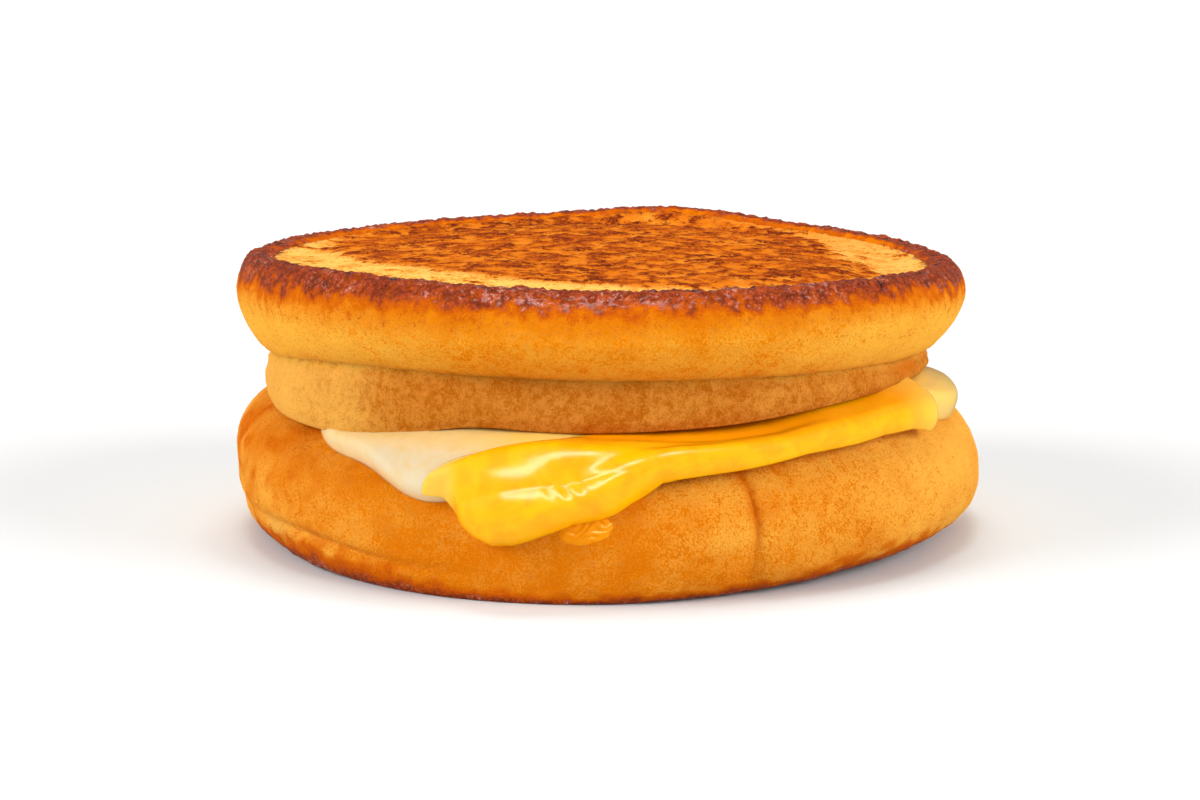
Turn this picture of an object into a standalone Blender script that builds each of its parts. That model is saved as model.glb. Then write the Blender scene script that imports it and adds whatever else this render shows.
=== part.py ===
"""Round grilled cheese sandwich: a bun turned inside out and toasted, with two melted slices in it."""

import math

import bpy
import numpy as np

MILLIMETRE = 0.001
GAP = 0.38

# Angles are in degrees: 0 is the right side, 90 the back, 180 the left side and -90 the front.
# Every table holds millimetres at even steps round the sandwich. A table of eight starts with the
# right, back right, back, back left, left, front left, front and front right.
BOTTOM_CENTRE = (0.0, 0.3)
FOOT_RADIUS = (
    45.2, 46.6, 48.0, 48.6, 48.6, 48.6, 48.4, 48.2,
    48.0, 46.7, 48.9, 50.4, 49.6, 45.8, 41.8, 41.2,
)
FULLEST_RADIUS = (52.7, 52.9, 53.4, 52.8, 52.6, 51.9, 52.2, 52.4)
FULLEST_HEIGHT = (8.2, 9.0, 10.0, 11.0, 12.2, 8.6, 8.2, 8.0)
SHOULDER_TOP = (19.8, 19.8, 19.2, 19.6, 20.8, 17.9, 18.1, 19.5)
SHOULDER_START = 41.0
SHOULDER_STRETCH = 11.2
BOTTOM_MIDDLE_HEIGHT = 19.0
BOTTOM_FOOT_SHARES = (0.5, 1.0)
BOTTOM_SIDE_TURNS = (14.0, 28.0, 42.0, 58.0, 74.0)
BOTTOM_SHOULDER_SHARES = (1.0, 0.84, 0.68, 0.52, 0.36, 0.2, 0.05)
BOTTOM_TOP_SHARES = (0.7, 0.35)

# The upright dent at the front right: its direction at each height, and the low fold at the front left.
DENT_HEIGHTS = (0.0, 5.0, 10.0, 14.0, 17.0, 19.0)
DENT_ANGLES = (-68.4, -68.8, -68.3, -68.7, -69.8, -71.0)
DENT_WIDTH = 2.6
DENT_DEPTH = 0.75
DENT_FADE_HEIGHT = 3.0
FOLD_ANGLE = -138.0
FOLD_SPREAD = 22.0
FOLD_DEPTH = 0.55
FOLD_WIDTH = 1.1
FOLD_HEIGHT_AT_LEFT = 5.4
FOLD_HEIGHT_IN_FRONT = 3.8
FOLD_LEFT_END = -150.0
FOLD_FRONT_END = -118.0

# Each wave of the bread: its size, how often it comes round, where it starts and how it leans with height.
WAVES = ((0.14, 5.0, 0.9, 0.11), (0.10, 9.0, 2.3, -0.17), (0.07, 14.0, 4.1, 0.23))

TOP_CENTRE = (-0.9, 0.3)
NECK_RADIUS = (46.2, 46.6, 46.6, 46.8, 47.3, 47.0, 46.4, 46.2)
NECK_FOOT = (24.2, 24.0, 23.6, 22.4, 19.8, 19.2, 22.1, 23.8)
CREASE_HEIGHT = (25.6, 26.4, 27.0, 26.0, 24.8, 28.0, 28.1, 27.2)
CREASE_RADIUS = (45.3, 45.6, 45.4, 45.8, 46.3, 45.6, 45.2, 45.2)
SIDE_RADIUS = (51.3, 51.2, 51.0, 51.0, 50.9, 51.3, 51.3, 51.3)
SIDE_HEIGHT = (34.2, 33.8, 33.6, 33.8, 34.2, 34.4, 34.0, 34.0)
RIM_HEIGHT = (37.8, 37.7, 38.1, 38.0, 39.0, 40.9, 40.5, 39.9)
RIM_RADIUS = 47.4
HUMP_ANGLE = 76.0
HUMP_WIDTH = 17.0
HUMP_HEIGHT = 1.2
UNDERSIDE_POWER = 1.46
TOP_MIDDLE_HEIGHT = 39.5
HOLLOW_REACHES = (24.0, 41.8)
FOOT_EDGE = ((2.3, 0.4, 42.8), (1.2, 0.05, 43.8))
NECK_RINGS = ((0.14, 0.35), (0.45, 0.0), (0.8, 0.4))
UNDERSIDE_RISE = 0.3
UNDERSIDE_TURNS = (12.0, 28.0, 46.0, 66.0)
RIM_BULGE = 1.0
RIM_TURNS = (4.0, 32.0, 62.0)
RIM_EDGE = ((0.0, 0.0), (1.5, 0.25), (2.9, 0.75))
MOAT_RADIUS = 41.5
MOAT_DROP = 0.9
MOAT_RISE = 0.35
FACE_SHARES = (0.8, 0.4)

WHITE_THICKNESS = 1.6
WHITE_PUDDLE = (-112.0, 13.0, 0.9)
PUDDLE_START = (40.0, 44.0)
PUDDLE_END = (44.5, 52.0)
WHITE_ROUNDING = 1.1
WHITE_INNER_SHARES = (0.5, 0.93)
WHITE_OUTER_SHARES = (0.1, 0.5, 0.85, 1.0)
WHITE_REACH = 42.0
WHITE_CORNERS = ((-117.0, 15.0, 10.8), (-143.0, 12.0, 4.1), (0.0, 17.0, 6.8), (88.0, 18.0, 6.5))

YELLOW_THICKNESS = 2.0
YELLOW_REACH = 41.6
YELLOW_FRONT_REACH = 49.5
YELLOW_SAG = (-74.0, 10.0, 1.2)
YELLOW_LEFT_EDGE = -97.0
YELLOW_RIGHT_EDGE = -15.0
DRIP_ANGLE = -84.5
DRIP_LENGTH = 9.3
DRIP_LEFT_WIDTH = 7.6
DRIP_RIGHT_WIDTH = 5.5
THIN_TIP = (-94.5, 3.0, 2.0)
SWING_PER_MILLIMETRE = 3.0
SWING_START_REACH = 44.2
SWING_END = -57.0
BACK_CORNER = (80.0, 16.0, 8.4)
YELLOW_ROUNDING = 1.7
YELLOW_INNER_SHARES = (0.45, 0.92, 1.0)
YELLOW_OUTER_SHARES = (0.25, 0.48, 0.7, 0.88, 1.0)
LEFT_EDGE_SOFTNESS = 2.0
RIGHT_EDGE_SOFTNESS = 7.0
PAST_WHITE = (0.7, 3.0)
OVERHANG = (49.0, 52.0)
LIP_RISE = 0.15
LIP_START = (44.0, 47.0)
THIN_LEFT_ANGLES = (-94.0, -89.0)
THIN_LEFT_REACH = (47.0, 50.0)
THIN_LEFT_SHARE = 0.5
EDGE_FALL = 0.9
EDGE_FALL_REACH = (50.0, 56.0)
THINNEST_SHARE = 0.25
NECK_REACH = 44.0
WHITE_UNDER_NECK = (42.5, 44.5)
YELLOW_UNDER_NECK = (42.5, 45.0)

DIRECTIONS = 104
CLOSER_DIRECTIONS = ((-96.8, 4.0, 6.5), (-86.0, 8.0, 1.8), (-68.0, 6.0, 1.6))

TOAST_GOLD = (0.78, 0.35, 0.07)
TOAST_BROWN = (0.72, 0.30, 0.06)
CHEESE_YELLOW = (0.96, 0.57, 0.03)
CHEESE_WHITE = (0.90, 0.74, 0.46)


def around(angles, values):
    """Smooth closed curve through values that stand at even steps round the sandwich."""
    values = np.asarray(values)
    count = len(values)
    place = np.mod(angles, 360.0) / 360.0 * count
    first = np.floor(place).astype(int)
    part = place - first
    before, start, end, after = (values[(first + step) % count] for step in (-1, 0, 1, 2))
    slope_in = (end - before) / 2.0
    slope_out = (after - start) / 2.0
    return (
        start * (1.0 + 2.0 * part) * (1.0 - part) ** 2
        + slope_in * part * (1.0 - part) ** 2
        + end * part ** 2 * (3.0 - 2.0 * part)
        - slope_out * part ** 2 * (1.0 - part)
    )


def turn_between(angles, centre):
    """Signed angle from a direction, between -180 and 180 degrees."""
    return np.mod(angles - centre + 180.0, 360.0) - 180.0


def bump(angles, centre, width):
    """Soft bump of height one about a direction."""
    return np.exp(-((turn_between(angles, centre) / width) ** 2))


def ramp(values, low, high):
    """Soft step from nought at low to one at high."""
    part = np.clip((values - low) / (high - low), 0.0, 1.0)
    return part * part * (3.0 - 2.0 * part)


def blend(first, second, amount):
    """Mix of two values."""
    return first + (second - first) * amount


def waviness(angles, level):
    """Hand-shaped unevenness of the bread, a few tenths of a millimetre."""
    turn = np.radians(angles)
    return sum(size * np.sin(times * turn + start + lean * level) for size, times, start, lean in WAVES)


def sample_angles(count, closer):
    """Directions round the sandwich, set closer together about chosen ones."""
    fine = np.linspace(-180.0, 180.0, 3601)
    density = 1.0 + sum(closeness * bump(fine, at, width) for at, width, closeness in closer)
    travelled = np.concatenate([[0.0], np.cumsum((density[1:] + density[:-1]) / 2.0)])
    wanted = np.linspace(0.0, travelled[-1], count, endpoint=False)
    return np.interp(wanted, travelled, fine)


def shoulder(reach, angles, lift):
    """Point that lies a distance out from the middle along the lower bun's top, lifted off it."""
    width = around(angles, FULLEST_RADIUS) - SHOULDER_START
    rise = around(angles, SHOULDER_TOP) - around(angles, FULLEST_HEIGHT)
    over = np.clip(reach - SHOULDER_START, 0.0, None) / SHOULDER_STRETCH
    flat_part = np.clip(reach / SHOULDER_START, 0.0, 1.0)
    flat_height = blend(BOTTOM_MIDDLE_HEIGHT, around(angles, SHOULDER_TOP), flat_part ** 2)
    radius = np.minimum(reach, SHOULDER_START) + width * np.sin(over)
    height = flat_height - rise * (1.0 - np.cos(over))
    out = np.sin(over) * rise
    up = np.cos(over) * width
    length = np.hypot(out, up)
    return radius + lift * out / length, height + lift * up / length


def bottom_relief(angles, height):
    """How far the side of the lower bun is pressed in: one upright dent and one low fold."""
    dent_angle = np.interp(height, DENT_HEIGHTS, DENT_ANGLES)
    dent = DENT_DEPTH * bump(angles, dent_angle, DENT_WIDTH) * ramp(height, 0.0, DENT_FADE_HEIGHT)
    along = ramp(angles, FOLD_LEFT_END, FOLD_FRONT_END)
    fold_height = blend(FOLD_HEIGHT_AT_LEFT, FOLD_HEIGHT_IN_FRONT, along)
    across = np.exp(-(((height - fold_height) / FOLD_WIDTH) ** 2))
    return dent + FOLD_DEPTH * across * bump(angles, FOLD_ANGLE, FOLD_SPREAD)


def bottom_bun_rings(angles):
    """Rings of the lower bun, from its flat foot over the side to the middle of its top."""
    foot = around(angles, FOOT_RADIUS)
    fullest = around(angles, FULLEST_RADIUS)
    level = around(angles, FULLEST_HEIGHT)
    rings = [(foot * share, np.zeros_like(foot)) for share in BOTTOM_FOOT_SHARES]
    for turn in np.radians(BOTTOM_SIDE_TURNS):
        height = level * (1.0 - np.cos(turn))
        radius = blend(foot, fullest, np.sin(turn)) - bottom_relief(angles, height)
        rings.append((radius + waviness(angles, height) * np.sin(turn), height))
    quarter = SHOULDER_START + SHOULDER_STRETCH * math.pi / 2.0
    for share in BOTTOM_SHOULDER_SHARES:
        reach = np.full_like(angles, blend(SHOULDER_START, quarter, share))
        radius, height = shoulder(reach, angles, 0.0)
        radius = radius - bottom_relief(angles, height) * share
        rings.append((radius + waviness(angles, height) * share, height))
    for share in BOTTOM_TOP_SHARES:
        rings.append(shoulder(np.full_like(angles, SHOULDER_START * share), angles, 0.0))
    return rings


def white_reach(angles):
    """Length of the white slice from the middle to its edge."""
    return WHITE_REACH + sum(size * bump(angles, at, width) for at, width, size in WHITE_CORNERS)


def white_height(angles, reach):
    """Height of the white slice's upper face above the lower bun; it is thicker by the neck."""
    puddle_at, puddle_width, puddle_size = WHITE_PUDDLE
    by_neck = ramp(reach, *PUDDLE_START) * (1.0 - ramp(reach, *PUDDLE_END))
    return GAP + WHITE_THICKNESS + puddle_size * bump(angles, puddle_at, puddle_width) * by_neck


def yellow_reach(angles):
    """Length of the yellow slice from the middle to its edge, before its front is swung aside."""
    left = ramp(angles - YELLOW_LEFT_EDGE, -LEFT_EDGE_SOFTNESS, LEFT_EDGE_SOFTNESS)
    right = 1.0 - ramp(angles - YELLOW_RIGHT_EDGE, -RIGHT_EDGE_SOFTNESS, RIGHT_EDGE_SOFTNESS)
    width = np.where(angles < DRIP_ANGLE, DRIP_LEFT_WIDTH, DRIP_RIGHT_WIDTH)
    front = YELLOW_FRONT_REACH - YELLOW_REACH + DRIP_LENGTH * bump(angles, DRIP_ANGLE, width)
    for at, width, size in (THIN_TIP, YELLOW_SAG):
        front = front + size * bump(angles, at, width)
    corner_at, corner_width, corner_size = BACK_CORNER
    return YELLOW_REACH + front * left * right + corner_size * bump(angles, corner_at, corner_width)


def swung(angles, reach):
    """Directions after the melted front of the yellow slice has slid to the left."""
    share = np.clip((SWING_END - angles) / (SWING_END - YELLOW_LEFT_EDGE), 0.0, 1.0) ** 2
    return angles - SWING_PER_MILLIMETRE * share * np.clip(reach - SWING_START_REACH, 0.0, None)


def slice_reaches(edge, inner_shares, outer_shares):
    """Distances from the middle at which a slice is ringed, close together where it bends."""
    bend = np.minimum(SWING_START_REACH, edge - 0.8)
    inner = np.array(inner_shares)[:, None] * bend
    outer = bend + np.array(outer_shares)[:, None] * (edge - bend)
    return np.concatenate([inner, outer])


def edge_distance(reach, angles, edge_reach, edge_angles):
    """Distance of points on a slice, laid out flat, from its outline."""
    turn = np.radians(angles)
    points = np.stack([reach * np.cos(turn), reach * np.sin(turn)], axis=-1)
    turn = np.radians(edge_angles)
    start = np.stack([edge_reach * np.cos(turn), edge_reach * np.sin(turn)], axis=-1)
    along = np.roll(start, -1, axis=0) - start
    away = points[..., None, :] - start
    share = np.clip((away * along).sum(-1) / (along * along).sum(-1), 0.0, 1.0)
    return np.linalg.norm(away - share[..., None] * along, axis=-1).min(axis=-1)


def slice_rings(reaches, positions, low, high, rounding):
    """Rings of a slice from the middle of its underside round its edge to the middle of its top."""
    distance = edge_distance(reaches, positions, reaches[-1], positions[-1])
    fullness = np.sqrt(1.0 - (1.0 - np.clip(distance / rounding, 0.0, 1.0)) ** 2)
    fullness = np.maximum(fullness, THINNEST_SHARE)
    middle = (low + high) / 2.0
    half = (high - low) / 2.0 * fullness
    under = [shoulder(*row) for row in zip(reaches, positions, middle - half)]
    over = [shoulder(*row) for row in zip(reaches, positions, middle + half)]
    turns = list(positions) + list(positions[-2::-1])
    return under + over[-2::-1], turns


def white_cheese_rings(angles):
    """Rings of the white slice, which drapes over the lower bun."""
    reaches = slice_reaches(white_reach(angles), WHITE_INNER_SHARES, WHITE_OUTER_SHARES)
    positions = np.broadcast_to(angles, reaches.shape)
    low = np.full(reaches.shape, GAP)
    return slice_rings(reaches, positions, low, white_height(positions, reaches), WHITE_ROUNDING)


def yellow_cheese_rings(angles):
    """Rings of the yellow slice, which lies on the white one and hangs over it in front."""
    reaches = slice_reaches(yellow_reach(angles), YELLOW_INNER_SHARES, YELLOW_OUTER_SHARES)
    positions = swung(angles[None, :], reaches)
    past_white = ramp(reaches - white_reach(positions), *PAST_WHITE) * ramp(reaches, *OVERHANG)
    on_white = white_height(positions, reaches) + GAP + LIP_RISE * ramp(reaches, *LIP_START)
    low = blend(on_white, GAP, past_white)
    thin = (1.0 - ramp(angles, *THIN_LEFT_ANGLES)) * ramp(reaches, *THIN_LEFT_REACH)
    thickness = YELLOW_THICKNESS * (1.0 - THIN_LEFT_SHARE * thin)
    high = on_white + thickness - EDGE_FALL * ramp(reaches, *EDGE_FALL_REACH)
    return slice_rings(reaches, positions, low, high, YELLOW_ROUNDING)


def slices_height(angles):
    """Clear height above the lower bun, where the neck stands, over the slices that reach so far."""
    white = ramp(white_reach(angles), *WHITE_UNDER_NECK)
    yellow = ramp(yellow_reach(angles), *YELLOW_UNDER_NECK)
    over_white = white_height(angles, NECK_REACH) + GAP
    return np.maximum(over_white * white, (over_white + YELLOW_THICKNESS + GAP) * yellow)


def top_bun_rings(angles):
    """Rings of the upper bun: hollowed foot, neck, crease, full side, rim, moat and middle."""
    neck = around(angles, NECK_RADIUS)
    foot = around(angles, NECK_FOOT)
    crease = around(angles, CREASE_HEIGHT)
    crease_radius = around(angles, CREASE_RADIUS)
    side = around(angles, SIDE_RADIUS)
    side_height = around(angles, SIDE_HEIGHT)
    rim = around(angles, RIM_HEIGHT) + HUMP_HEIGHT * bump(angles, HUMP_ANGLE, HUMP_WIDTH)
    stack = GAP + WHITE_THICKNESS + GAP + YELLOW_THICKNESS + GAP
    rings = []
    for reach in HOLLOW_REACHES:
        rings.append(shoulder(np.full_like(angles, reach), angles, stack))
    for inset, rise, reach in FOOT_EDGE:
        over_slices = shoulder(np.full_like(angles, reach), angles, slices_height(angles))[1]
        rings.append((neck - inset, np.maximum(foot + rise, over_slices)))
    depth = crease - foot
    for share, inset in NECK_RINGS:
        rings.append((neck - inset + waviness(angles, foot), foot + depth * share))
    rings.append((crease_radius, crease))
    for turn in np.radians(UNDERSIDE_TURNS):
        fall = np.cos(turn) ** (2.0 / UNDERSIDE_POWER)
        spread = np.sin(turn) ** (2.0 / UNDERSIDE_POWER)
        height = blend(side_height, crease + UNDERSIDE_RISE, fall)
        radius = blend(crease_radius, side, spread)
        rings.append((radius + waviness(angles, height) * spread, height))
    for turn in np.radians(RIM_TURNS):
        height = blend(side_height, rim, np.sin(turn))
        radius = blend(RIM_RADIUS + RIM_BULGE, side, np.cos(turn))
        rings.append((radius + waviness(angles, height) * np.cos(turn), height))
    moat = around(angles, RIM_HEIGHT) - MOAT_DROP
    for inset, drop in RIM_EDGE:
        rings.append((np.full_like(angles, RIM_RADIUS - inset), rim - drop))
    rings.append((np.full_like(angles, MOAT_RADIUS), moat))
    for share in FACE_SHARES:
        height = blend(TOP_MIDDLE_HEIGHT, moat + MOAT_RISE, share ** 2)
        rings.append((np.full_like(angles, MOAT_RADIUS * share), height))
    return rings


def closed_body(name, rings, turns, centre, colour, roughness):
    """Skin a stack of rings, close it with one point below and one above, and colour it.

    The triangles of the upper half mirror those of the lower half, so that thin edges stay apart.
    """
    count = len(turns[0])
    points = []
    for (radius, height), angles in zip(rings, turns):
        turn = np.radians(angles)
        x = centre[0] + radius * np.cos(turn)
        y = centre[1] + radius * np.sin(turn)
        points.extend(zip(x, y, height))
    below = len(points)
    points.append((centre[0], centre[1], float(rings[0][1].mean())))
    above = len(points)
    points.append((centre[0], centre[1], float(rings[-1][1].mean())))
    faces = []
    for place in range(count):
        beside = (place + 1) % count
        faces.append((below, beside, place))
        last = (len(rings) - 1) * count
        faces.append((above, last + place, last + beside))
        for ring in range(len(rings) - 1):
            low = ring * count
            high = low + count
            if ring < len(rings) // 2:
                faces.append((low + place, low + beside, high + beside))
                faces.append((low + place, high + beside, high + place))
            else:
                faces.append((low + place, low + beside, high + place))
                faces.append((low + beside, high + beside, high + place))
    mesh = bpy.data.meshes.new(name)
    mesh.from_pydata([tuple(MILLIMETRE * value for value in point) for point in points], [], faces)
    mesh.validate()
    mesh.shade_smooth()
    body = bpy.data.objects.new(name, mesh)
    bpy.context.scene.collection.objects.link(body)
    material = bpy.data.materials.new(name + "_material")
    material.use_nodes = True
    shader = material.node_tree.nodes["Principled BSDF"]
    shader.inputs["Base Color"].default_value = (*colour, 1.0)
    shader.inputs["Roughness"].default_value = roughness
    shader.inputs["Metallic"].default_value = 0.0
    material.diffuse_color = (*colour, 1.0)
    body.data.materials.append(material)
    return body


def build_bottom_bun(angles):
    """Lower half of the bun."""
    rings = bottom_bun_rings(angles)
    closed_body("bottom_bun", rings, [angles] * len(rings), BOTTOM_CENTRE, TOAST_BROWN, 0.75)


def build_white_cheese(angles):
    """White slice, which shows at the front left, at the right end and at the back."""
    rings, turns = white_cheese_rings(angles)
    closed_body("white_cheese", rings, turns, BOTTOM_CENTRE, CHEESE_WHITE, 0.4)


def build_yellow_cheese(angles):
    """Yellow slice with its thick front lip and the drip at the front left."""
    rings, turns = yellow_cheese_rings(angles)
    closed_body("yellow_cheese", rings, turns, BOTTOM_CENTRE, CHEESE_YELLOW, 0.3)


def build_top_bun(angles):
    """Upper half of the bun, turned over so that its toasted cut face is on top."""
    rings = top_bun_rings(angles)
    closed_body("top_bun", rings, [angles] * len(rings), TOP_CENTRE, TOAST_GOLD, 0.7)


def main():
    """Build the four foods, each as one solid."""
    for leftover in list(bpy.data.objects):
        bpy.data.objects.remove(leftover)
    angles = sample_angles(DIRECTIONS, CLOSER_DIRECTIONS)
    build_bottom_bun(angles)
    build_white_cheese(angles)
    build_yellow_cheese(angles)
    build_top_bun(angles)


main()
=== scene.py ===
"""Round grilled cheese sandwich: a bun turned inside out and toasted dark, with two melted slices in it.

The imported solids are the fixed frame. Each food here stands for one of them, in the same place and form, with
finer relief and its own procedural finish. Lengths are in millimetres until a mesh is made in metres.
"""

import logging
import math
from dataclasses import dataclass
from enum import Enum

import bpy
import numpy as np
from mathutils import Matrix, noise
from mathutils.kdtree import KDTree


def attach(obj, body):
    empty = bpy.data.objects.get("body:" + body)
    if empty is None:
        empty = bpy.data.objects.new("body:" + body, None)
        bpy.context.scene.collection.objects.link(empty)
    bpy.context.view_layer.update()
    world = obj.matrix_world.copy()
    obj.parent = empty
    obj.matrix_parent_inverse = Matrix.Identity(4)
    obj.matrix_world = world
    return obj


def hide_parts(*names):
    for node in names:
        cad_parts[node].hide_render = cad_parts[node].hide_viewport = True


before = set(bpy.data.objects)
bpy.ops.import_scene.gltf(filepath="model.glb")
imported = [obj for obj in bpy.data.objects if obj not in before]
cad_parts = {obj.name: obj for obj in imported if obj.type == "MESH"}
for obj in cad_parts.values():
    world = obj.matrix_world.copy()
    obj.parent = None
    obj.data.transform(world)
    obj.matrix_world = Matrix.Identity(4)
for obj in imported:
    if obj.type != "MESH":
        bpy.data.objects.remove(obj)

MILLIMETRE = 0.001

Array = np.ndarray
Colour = tuple[float, float, float]
Table = tuple[float, ...]
Rows = tuple[tuple[float, ...], ...]
Rings = tuple[Array, Array]

report = logging.getLogger("sandwich")


def around(angles: Array, values: Table) -> Array:
    """Smooth closed curve through values that stand at even steps round the sandwich.

    Args:
        angles: Directions in degrees; 0 is the right side and -90 the front.
        values: Values at even steps, from direction 0.

    Returns:
        The value in each direction.
    """
    known = np.asarray(values, float)
    count = len(known)
    place = np.mod(angles, 360.0) / 360.0 * count
    first = np.floor(place).astype(int)
    part = place - first
    before, start, end, after = (known[(first + step) % count] for step in (-1, 0, 1, 2))
    slope_in = (end - before) / 2.0
    slope_out = (after - start) / 2.0
    return (
        start * (1.0 + 2.0 * part) * (1.0 - part) ** 2
        + slope_in * part * (1.0 - part) ** 2
        + end * part**2 * (3.0 - 2.0 * part)
        - slope_out * part**2 * (1.0 - part)
    )


def turned(angles: Array, centre: float) -> Array:
    """Signed angle from a direction, between -180 and 180 degrees."""
    return np.mod(angles - centre + 180.0, 360.0) - 180.0


def bump(values: Array, centre: float, width: float) -> Array:
    """Soft bump of height one about a value."""
    return np.exp(-(((values - centre) / width) ** 2))


def bump_round(angles: Array, centre: float, width: float) -> Array:
    """Soft bump of height one about a direction."""
    return np.exp(-((turned(angles, centre) / width) ** 2))


def ramp(values: Array, low: float, high: float) -> Array:
    """Soft step from nought at low to one at high."""
    part = np.clip((values - low) / (high - low), 0.0, 1.0)
    return part * part * (3.0 - 2.0 * part)


def blend(first: Array | float, second: Array | float, amount: Array | float) -> Array:
    """Mix of two values."""
    return first + (second - first) * amount


def grain(points: Array, size: float, seed: float) -> Array:
    """Smooth unevenness in space.

    Args:
        points: Points in millimetres, with their coordinates along the last axis.
        size: Distance over which it changes.
        seed: Shift that makes each use of it different.

    Returns:
        One value for each point, between about -1 and 1.
    """
    places = (points.reshape(-1, 3) / size + seed).tolist()
    values = np.array([noise.noise(place) for place in places])
    return values.reshape(points.shape[:-1])


def layered(points: Array, layers: Rows, shift: float = 0.0) -> Array:
    """Sum of several sizes of unevenness.

    Args:
        points: Points in millimetres, with their coordinates along the last axis.
        layers: Depth, size and seed of each.
        shift: Further shift of every seed.

    Returns:
        One value in millimetres for each point.
    """
    return sum(depth * grain(points, size, shift + seed) for depth, size, seed in layers)


def craters(points: Array, size: float, seed: float) -> Array:
    """Distance to the nearest of many scattered points, in units of size: low in the middle of each cell.

    Args:
        points: Points in millimetres, with their coordinates along the last axis.
        size: Rough distance between the scattered points.
        seed: Shift that makes each use of it different.

    Returns:
        One distance for each point, from 0 to about 1.
    """
    places = (points.reshape(-1, 3) / size + seed).tolist()
    values = np.array([noise.voronoi(place)[0][0] for place in places])
    return values.reshape(points.shape[:-1])


def waviness(angles: Array, level: Array) -> Array:
    """Hand-shaped unevenness of the bread, a few tenths of a millimetre.

    Args:
        angles: Directions in degrees.
        level: Height of each point.

    Returns:
        How far each point is pushed out.
    """
    turn = np.radians(angles)
    return (
        0.14 * np.sin(5.0 * turn + 0.9 + 0.11 * level)
        + 0.10 * np.sin(9.0 * turn + 2.3 - 0.17 * level)
        + 0.07 * np.sin(14.0 * turn + 4.1 + 0.23 * level)
    )


def directions(count: int, closer: Rows = ()) -> Array:
    """Directions round the sandwich, set closer together about chosen ones.

    Args:
        count: How many directions.
        closer: A direction, the width about it and how much closer, for each place with more detail.

    Returns:
        Angles in degrees from -180, in rising order.
    """
    fine = np.linspace(-180.0, 180.0, 7201)
    density = 1.0 + sum(closeness * bump_round(fine, at, width) for at, width, closeness in closer)
    travelled = np.concatenate([[0.0], np.cumsum((density[1:] + density[:-1]) / 2.0)])
    wanted = np.linspace(0.0, travelled[-1], count, endpoint=False)
    return np.interp(wanted, travelled, fine)


def outward(points: Array) -> Array:
    """Unit normals of a stack of rings that runs from below to above."""
    along = np.roll(points, -1, axis=1) - np.roll(points, 1, axis=1)
    across = np.gradient(points, axis=0)
    normal = np.cross(along, across)
    return normal / np.maximum(np.linalg.norm(normal, axis=-1, keepdims=True), 1e-9)


def to_points(centre: tuple[float, float], radius: Array, angles: Array, height: Array) -> Array:
    """Points in space from distances, directions and heights about an upright axis."""
    turn = np.radians(angles)
    x = centre[0] + radius * np.cos(turn)
    y = centre[1] + radius * np.sin(turn)
    return np.stack(np.broadcast_arrays(x, y, height), axis=-1)


class MeshMaker:
    """Makes mesh objects from arrays of points and faces."""

    @staticmethod
    def make(name: str, vertices: Array, faces: list, marks: dict[str, Array]) -> bpy.types.Object:
        """Make one smooth mesh object.

        Args:
            name: Name of the object.
            vertices: Points in millimetres.
            faces: Corner numbers of each face.
            marks: Named values for each vertex, which the finish reads.

        Returns:
            The new object, linked to the scene.
        """
        mesh = bpy.data.meshes.new(name)
        mesh.from_pydata((vertices * MILLIMETRE).tolist(), [], faces)
        for label, values in marks.items():
            layer = mesh.attributes.new(label, "FLOAT", "POINT")
            layer.data.foreach_set("value", np.ascontiguousarray(values, np.float32).ravel())
        mesh.shade_smooth()
        made = bpy.data.objects.new(name, mesh)
        bpy.context.scene.collection.objects.link(made)
        return made

    @classmethod
    def closed_skin(cls, name: str, points: Array, marks: dict[str, Array]) -> bpy.types.Object:
        """Skin a stack of rings and close it with one point below and one above.

        Args:
            name: Name of the object.
            points: Points by ring and direction.
            marks: Named values by ring and direction.

        Returns:
            The new object.
        """
        rings, count = points.shape[:2]
        place = np.arange(count)
        beside = (place + 1) % count
        low = np.arange(rings - 1)[:, None] * count
        quads = np.stack([low + place, low + beside, low + beside + count, low + place + count], axis=-1)
        below = rings * count
        last = (rings - 1) * count
        faces = quads.reshape(-1, 4).tolist()
        faces += np.stack([np.full(count, below), beside, place], axis=-1).tolist()
        faces += np.stack([np.full(count, below + 1), last + place, last + beside], axis=-1).tolist()
        ends = np.stack([points[0].mean(axis=0), points[-1].mean(axis=0)])
        vertices = np.concatenate([points.reshape(-1, 3), ends])
        closed = {
            label: np.concatenate([values.reshape(-1), [values[0].mean(), values[-1].mean()]])
            for label, values in marks.items()
        }
        return cls.make(name, vertices, faces, closed)


class Wire:
    """A shader socket that takes part in sums as numbers do."""

    def __init__(self, recipe: "NodeSheet", socket: bpy.types.NodeSocket) -> None:
        """Wrap a socket of a sheet's tree."""
        self.recipe = recipe
        self.socket = socket

    def _math(self, operation: str, first: "Wire | float", second: "Wire | float") -> "Wire":
        """Add one Math node for two values."""
        return self.recipe.node("ShaderNodeMath", {"operation": operation}, {0: first, 1: second})

    def __add__(self, other: "Wire | float") -> "Wire":
        """Sum."""
        return self._math("ADD", self, other)

    __radd__ = __add__

    def __sub__(self, other: "Wire | float") -> "Wire":
        """Difference."""
        return self._math("SUBTRACT", self, other)

    def __rsub__(self, other: float) -> "Wire":
        """Difference from a number."""
        return self._math("SUBTRACT", other, self)

    def __mul__(self, other: "Wire | float") -> "Wire":
        """Product."""
        return self._math("MULTIPLY", self, other)

    __rmul__ = __mul__

    def step(self, low: float, high: float) -> "Wire":
        """Soft step from nought at low to one at high."""
        settings = {"interpolation_type": "SMOOTHSTEP"}
        inputs = {"Value": self, "From Min": low, "From Max": high}
        return self.recipe.node("ShaderNodeMapRange", settings, inputs)


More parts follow.
